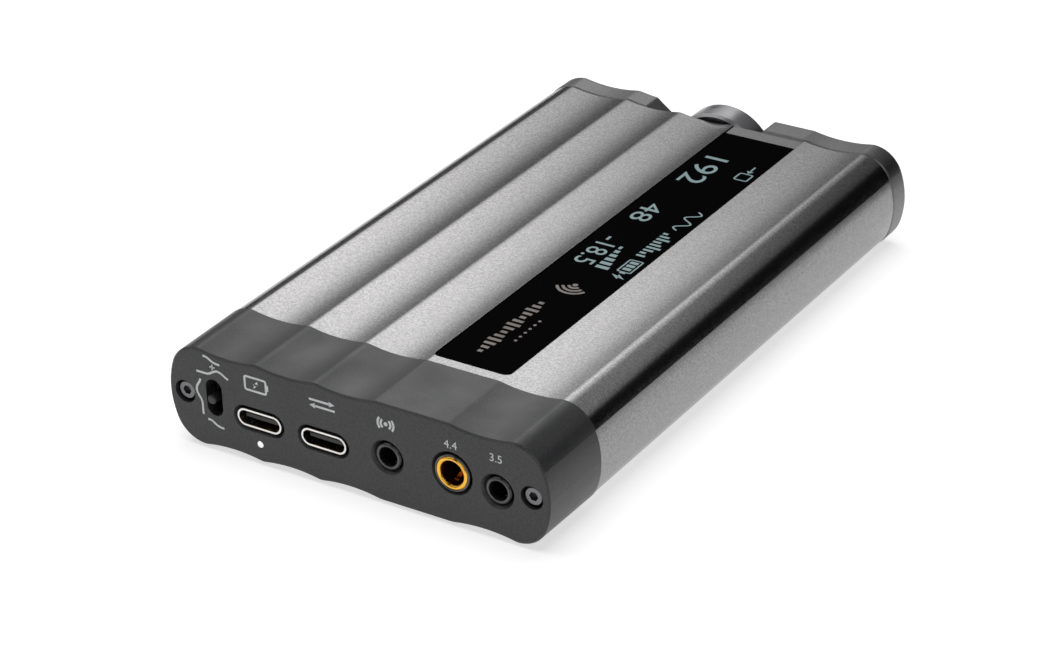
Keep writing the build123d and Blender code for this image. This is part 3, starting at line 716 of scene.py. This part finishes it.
def round_sockets():
    """Contact springs and a lip in every round socket; gold lip, collar and bore on the larger ones, the
    bore in a darker gold as painted shade.
    """
    for name, bore in SOCKET_BORES.items():
        low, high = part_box(f"{name}_sleeve")
        x, z = middle(f"{name}_sleeve")
        out = 1 if high.y > 0 else -1
        mouth = (high.y if out > 0 else low.y) / MM
        large = bore > 2
        verts, faces = [], []
        path = [(bore - 0.02, 1.6), (bore - 0.1, 2.4), (bore * 0.72, 3.9), (bore * 0.66, 4.6),
                (bore * 0.72, 5.3), (bore - 0.1, 6.6)]
        for turn in ((40, 160, 280) if large else (75, 255)):
            leaf(verts, faces, x, z, radians(turn), out, mouth, path, 0.42)
        deeper = [(r, depth + 5.0) for r, depth in path]
        for turn in ((100, 220, 340) if large else (165, 345)):
            leaf(verts, faces, x, z, radians(turn), out, mouth, deeper, 0.42)
        solid(f"{name}_springs", verts, faces, "gold_sleeve" if large else "switch_steel")
        if large:
            ring = [(2.62 + 0.36 * cos(radians(d)), mouth + out * 0.3 * sin(radians(d)))
                    for d in range(0, 181, 15)]
            ring += [(2.26, mouth - out * 0.5), (2.98, mouth - out * 0.05)]
            lathe(f"{name}_lip", x, z, ring, "gold_sleeve", closed=True)
            collar = [(3.0, mouth - out * 0.05), (3.02, mouth + out * 0.14), (3.16, mouth + out * 0.2),
                      (3.32, mouth + out * 0.1), (3.38, mouth - out * 0.2)]
            lathe(f"{name}_collar", x, z, collar, "collar_steel")
            # bore wall in the darker gold: painted shade inside the bore
            bore_wall = [(2.24, mouth - out * 0.3), (2.24, mouth - out * 4.0),
                         (2.2, mouth - out * 9.0)]
            lathe(f"{name}_bore", x, z, bore_wall, "gold_bore")
        else:
            lip = [(1.82, mouth - out * 0.5), (1.84, mouth - out * 0.08), (1.93, mouth + out * 0.05),
                   (2.06, mouth + out * 0.06), (2.16, mouth - out * 0.04)]
            lathe(f"{name}_lip", x, z, lip, "collar_steel")


socket_contacts()
round_sockets()


# ---------------------------------------------------------------- stage
def sheet(name, corners, material):
    mesh = bpy.data.meshes.new(name)
    mesh.from_pydata([tuple(c) for c in corners], [], [tuple(range(len(corners)))])
    mesh.materials.append(material)
    mesh.update()
    made = bpy.data.objects.new(name, mesh)
    bpy.context.scene.collection.objects.link(made)
    return made


def floor_material():
    n = Nodes("floor")
    slow = n.noise(120.0)
    tone = n.mix(n.remap(slow, 0.3, 0.7, 0.0, 1.0), (0.59, 0.59, 0.59), (0.61, 0.61, 0.61))
    far = n.add("ShaderNodeVectorMath", operation="LENGTH")
    n.link(n.where, far.inputs[0])
    glow_level = n.remap(far.outputs["Value"], 0.5, 1.1, 0.66, 1.0)
    return n.surface(tone, 0.9, 0.0, None, Emission_Color=(1.0, 1.0, 1.0, 1.0),
                     Emission_Strength=glow_level)


CARD_EDGE = 0.12
CARD_MIDDLE_X = 0.16


def card_material(name, start, level, fade, side=None):
    """A diffuser lit from one edge: full level at Y = start, fading away from it.

    side, if given, is the X where it starts to fall off to CARD_EDGE of its level and the X where
    it has; such a card also fades faster along Y the further X is below CARD_MIDDLE_X.
    """
    n = Nodes(name)
    split = n.add("ShaderNodeSeparateXYZ")
    n.link(n.where, split.inputs[0])
    gone = n.math("MAXIMUM", n.math("SUBTRACT", start, split.outputs[1]), 0.0)
    if side:
        aside = n.math("MAXIMUM", n.math("SUBTRACT", CARD_MIDDLE_X, split.outputs[0]), 0.0)
        gone = n.math("MULTIPLY", gone, n.math("ADD", n.math("MULTIPLY", aside, 2.2), 1.0))
    fall = n.math("EXPONENT", n.math("MULTIPLY", gone, -1.0 / fade))
    if side:
        fall = n.math("MULTIPLY", fall, n.remap(split.outputs[0], side[0], side[1], 1.0, CARD_EDGE))
    emission = n.add("ShaderNodeEmission")
    n.link(n.math("MULTIPLY", fall, level), emission.inputs["Strength"])
    n.link(emission.outputs[0], n.out.inputs["Surface"])
    return n.material


def even_light(name, strength):
    """An even card: black at 0, plain white at 1."""
    n = Nodes(name)
    emission = n.add("ShaderNodeEmission")
    emission.inputs["Strength"].default_value = strength
    n.link(emission.outputs[0], n.out.inputs["Surface"])
    return n.material


def area(name, place, aim, size, power, glossy=True):
    data = bpy.data.lights.new(name, "AREA")
    data.shape = "RECTANGLE"
    data.size, data.size_y = size
    data.energy = power
    lamp = bpy.data.objects.new(name, data)
    bpy.context.scene.collection.objects.link(lamp)
    lamp.location = place
    lamp.rotation_mode = "QUATERNION"
    lamp.rotation_quaternion = (Vector(aim) - Vector(place)).to_track_quat("-Z", "Y")
    lamp.visible_camera = False
    lamp.visible_glossy = glossy
    return lamp


def stage():
    """Pale floor, reflection cards that only gloss sees, a white backdrop and one soft light."""
    sheet("floor", [(-4, -4, 0), (4, -4, 0), (4, 4, 0), (-4, 4, 0)], floor_material())
    high = 0.18
    cards = [
        sheet("main_card", [(0.5, -0.1, high), (0.035, -0.1, high), (0.035, -0.8, high),
                            (0.5, -0.8, high)],
              card_material("main_card", -0.16, 2.98, 0.157, (0.175, 0.39))),
        sheet("side_card", [(0.035, -0.1, high), (-0.25, -0.1, high), (-0.25, -0.4, high),
                            (0.035, -0.4, high)], card_material("side_card", -0.16, 0.65, 0.08)),
        sheet("rim_card", [(0.75, 0.12, 0.5), (0.12, 0.12, 0.5), (0.12, 0.55, 0.5),
                           (0.75, 0.55, 0.5)], card_material("rim_card", 1.0, 2.4, 1.0)),
        sheet("back_card", [(-1.1, 0.05, 0.4), (-0.05, 0.05, 0.4), (-0.05, 1.1, 0.4),
                            (-1.1, 1.1, 0.4)], card_material("back_card", 1.1, 2.8, 0.5)),
        sheet("right_card", [(1.2, -0.5, 0.0), (1.2, 0.9, 0.0), (1.2, 0.9, 1.0), (1.2, -0.5, 1.0)],
              card_material("right_card", 0.9, 0.8, 1.5)),
        sheet("left_card", [(-1.2, -0.3, 0.0), (-1.2, 0.9, 0.0), (-1.2, 0.9, 1.0), (-1.2, -0.3, 1.0)],
              card_material("left_card", 0.9, 0.8, 1.5)),
        sheet("flag", [(-0.16, 0.1, 0.0), (-0.03, -0.3, 0.0), (-0.03, -0.3, 0.08),
                       (-0.16, 0.1, 0.08)], even_light("flag", 0.0)),
    ]
    for card in cards:
        card.visible_camera = False
        card.visible_diffuse = False
        card.visible_shadow = False
        card.visible_transmission = False
    radius, sides = 5, 48
    ring = [(radius * cos(2 * pi * i / sides), radius * sin(2 * pi * i / sides)) for i in range(sides)]
    mesh = bpy.data.meshes.new("backdrop")
    mesh.from_pydata([(x, y, -0.5) for x, y in ring] + [(x, y, 6.0) for x, y in ring], [],
                     [(i, (i + 1) % sides, sides + (i + 1) % sides, sides + i) for i in range(sides)])
    mesh.materials.append(even_light("backdrop", 1.0))
    backdrop = bpy.data.objects.new("backdrop", mesh)
    bpy.context.scene.collection.objects.link(backdrop)
    for ray in ("diffuse", "glossy", "transmission", "volume_scatter", "shadow"):
        setattr(backdrop, "visible_" + ray, False)
    area("overhead", (0.05, 0.0, 0.9), (0.0, 0.0, 0.0), (0.9, 0.9), 7.8, glossy=False)
    world = bpy.data.worlds.new("studio")
    bpy.context.scene.world = world
    world.use_nodes = True
    world.node_tree.nodes["Background"].inputs["Color"].default_value = (1, 1, 1, 1)
    world.node_tree.nodes["Background"].inputs["Strength"].default_value = 0.01
    bpy.context.scene.view_settings.view_transform = "Standard"


stage()
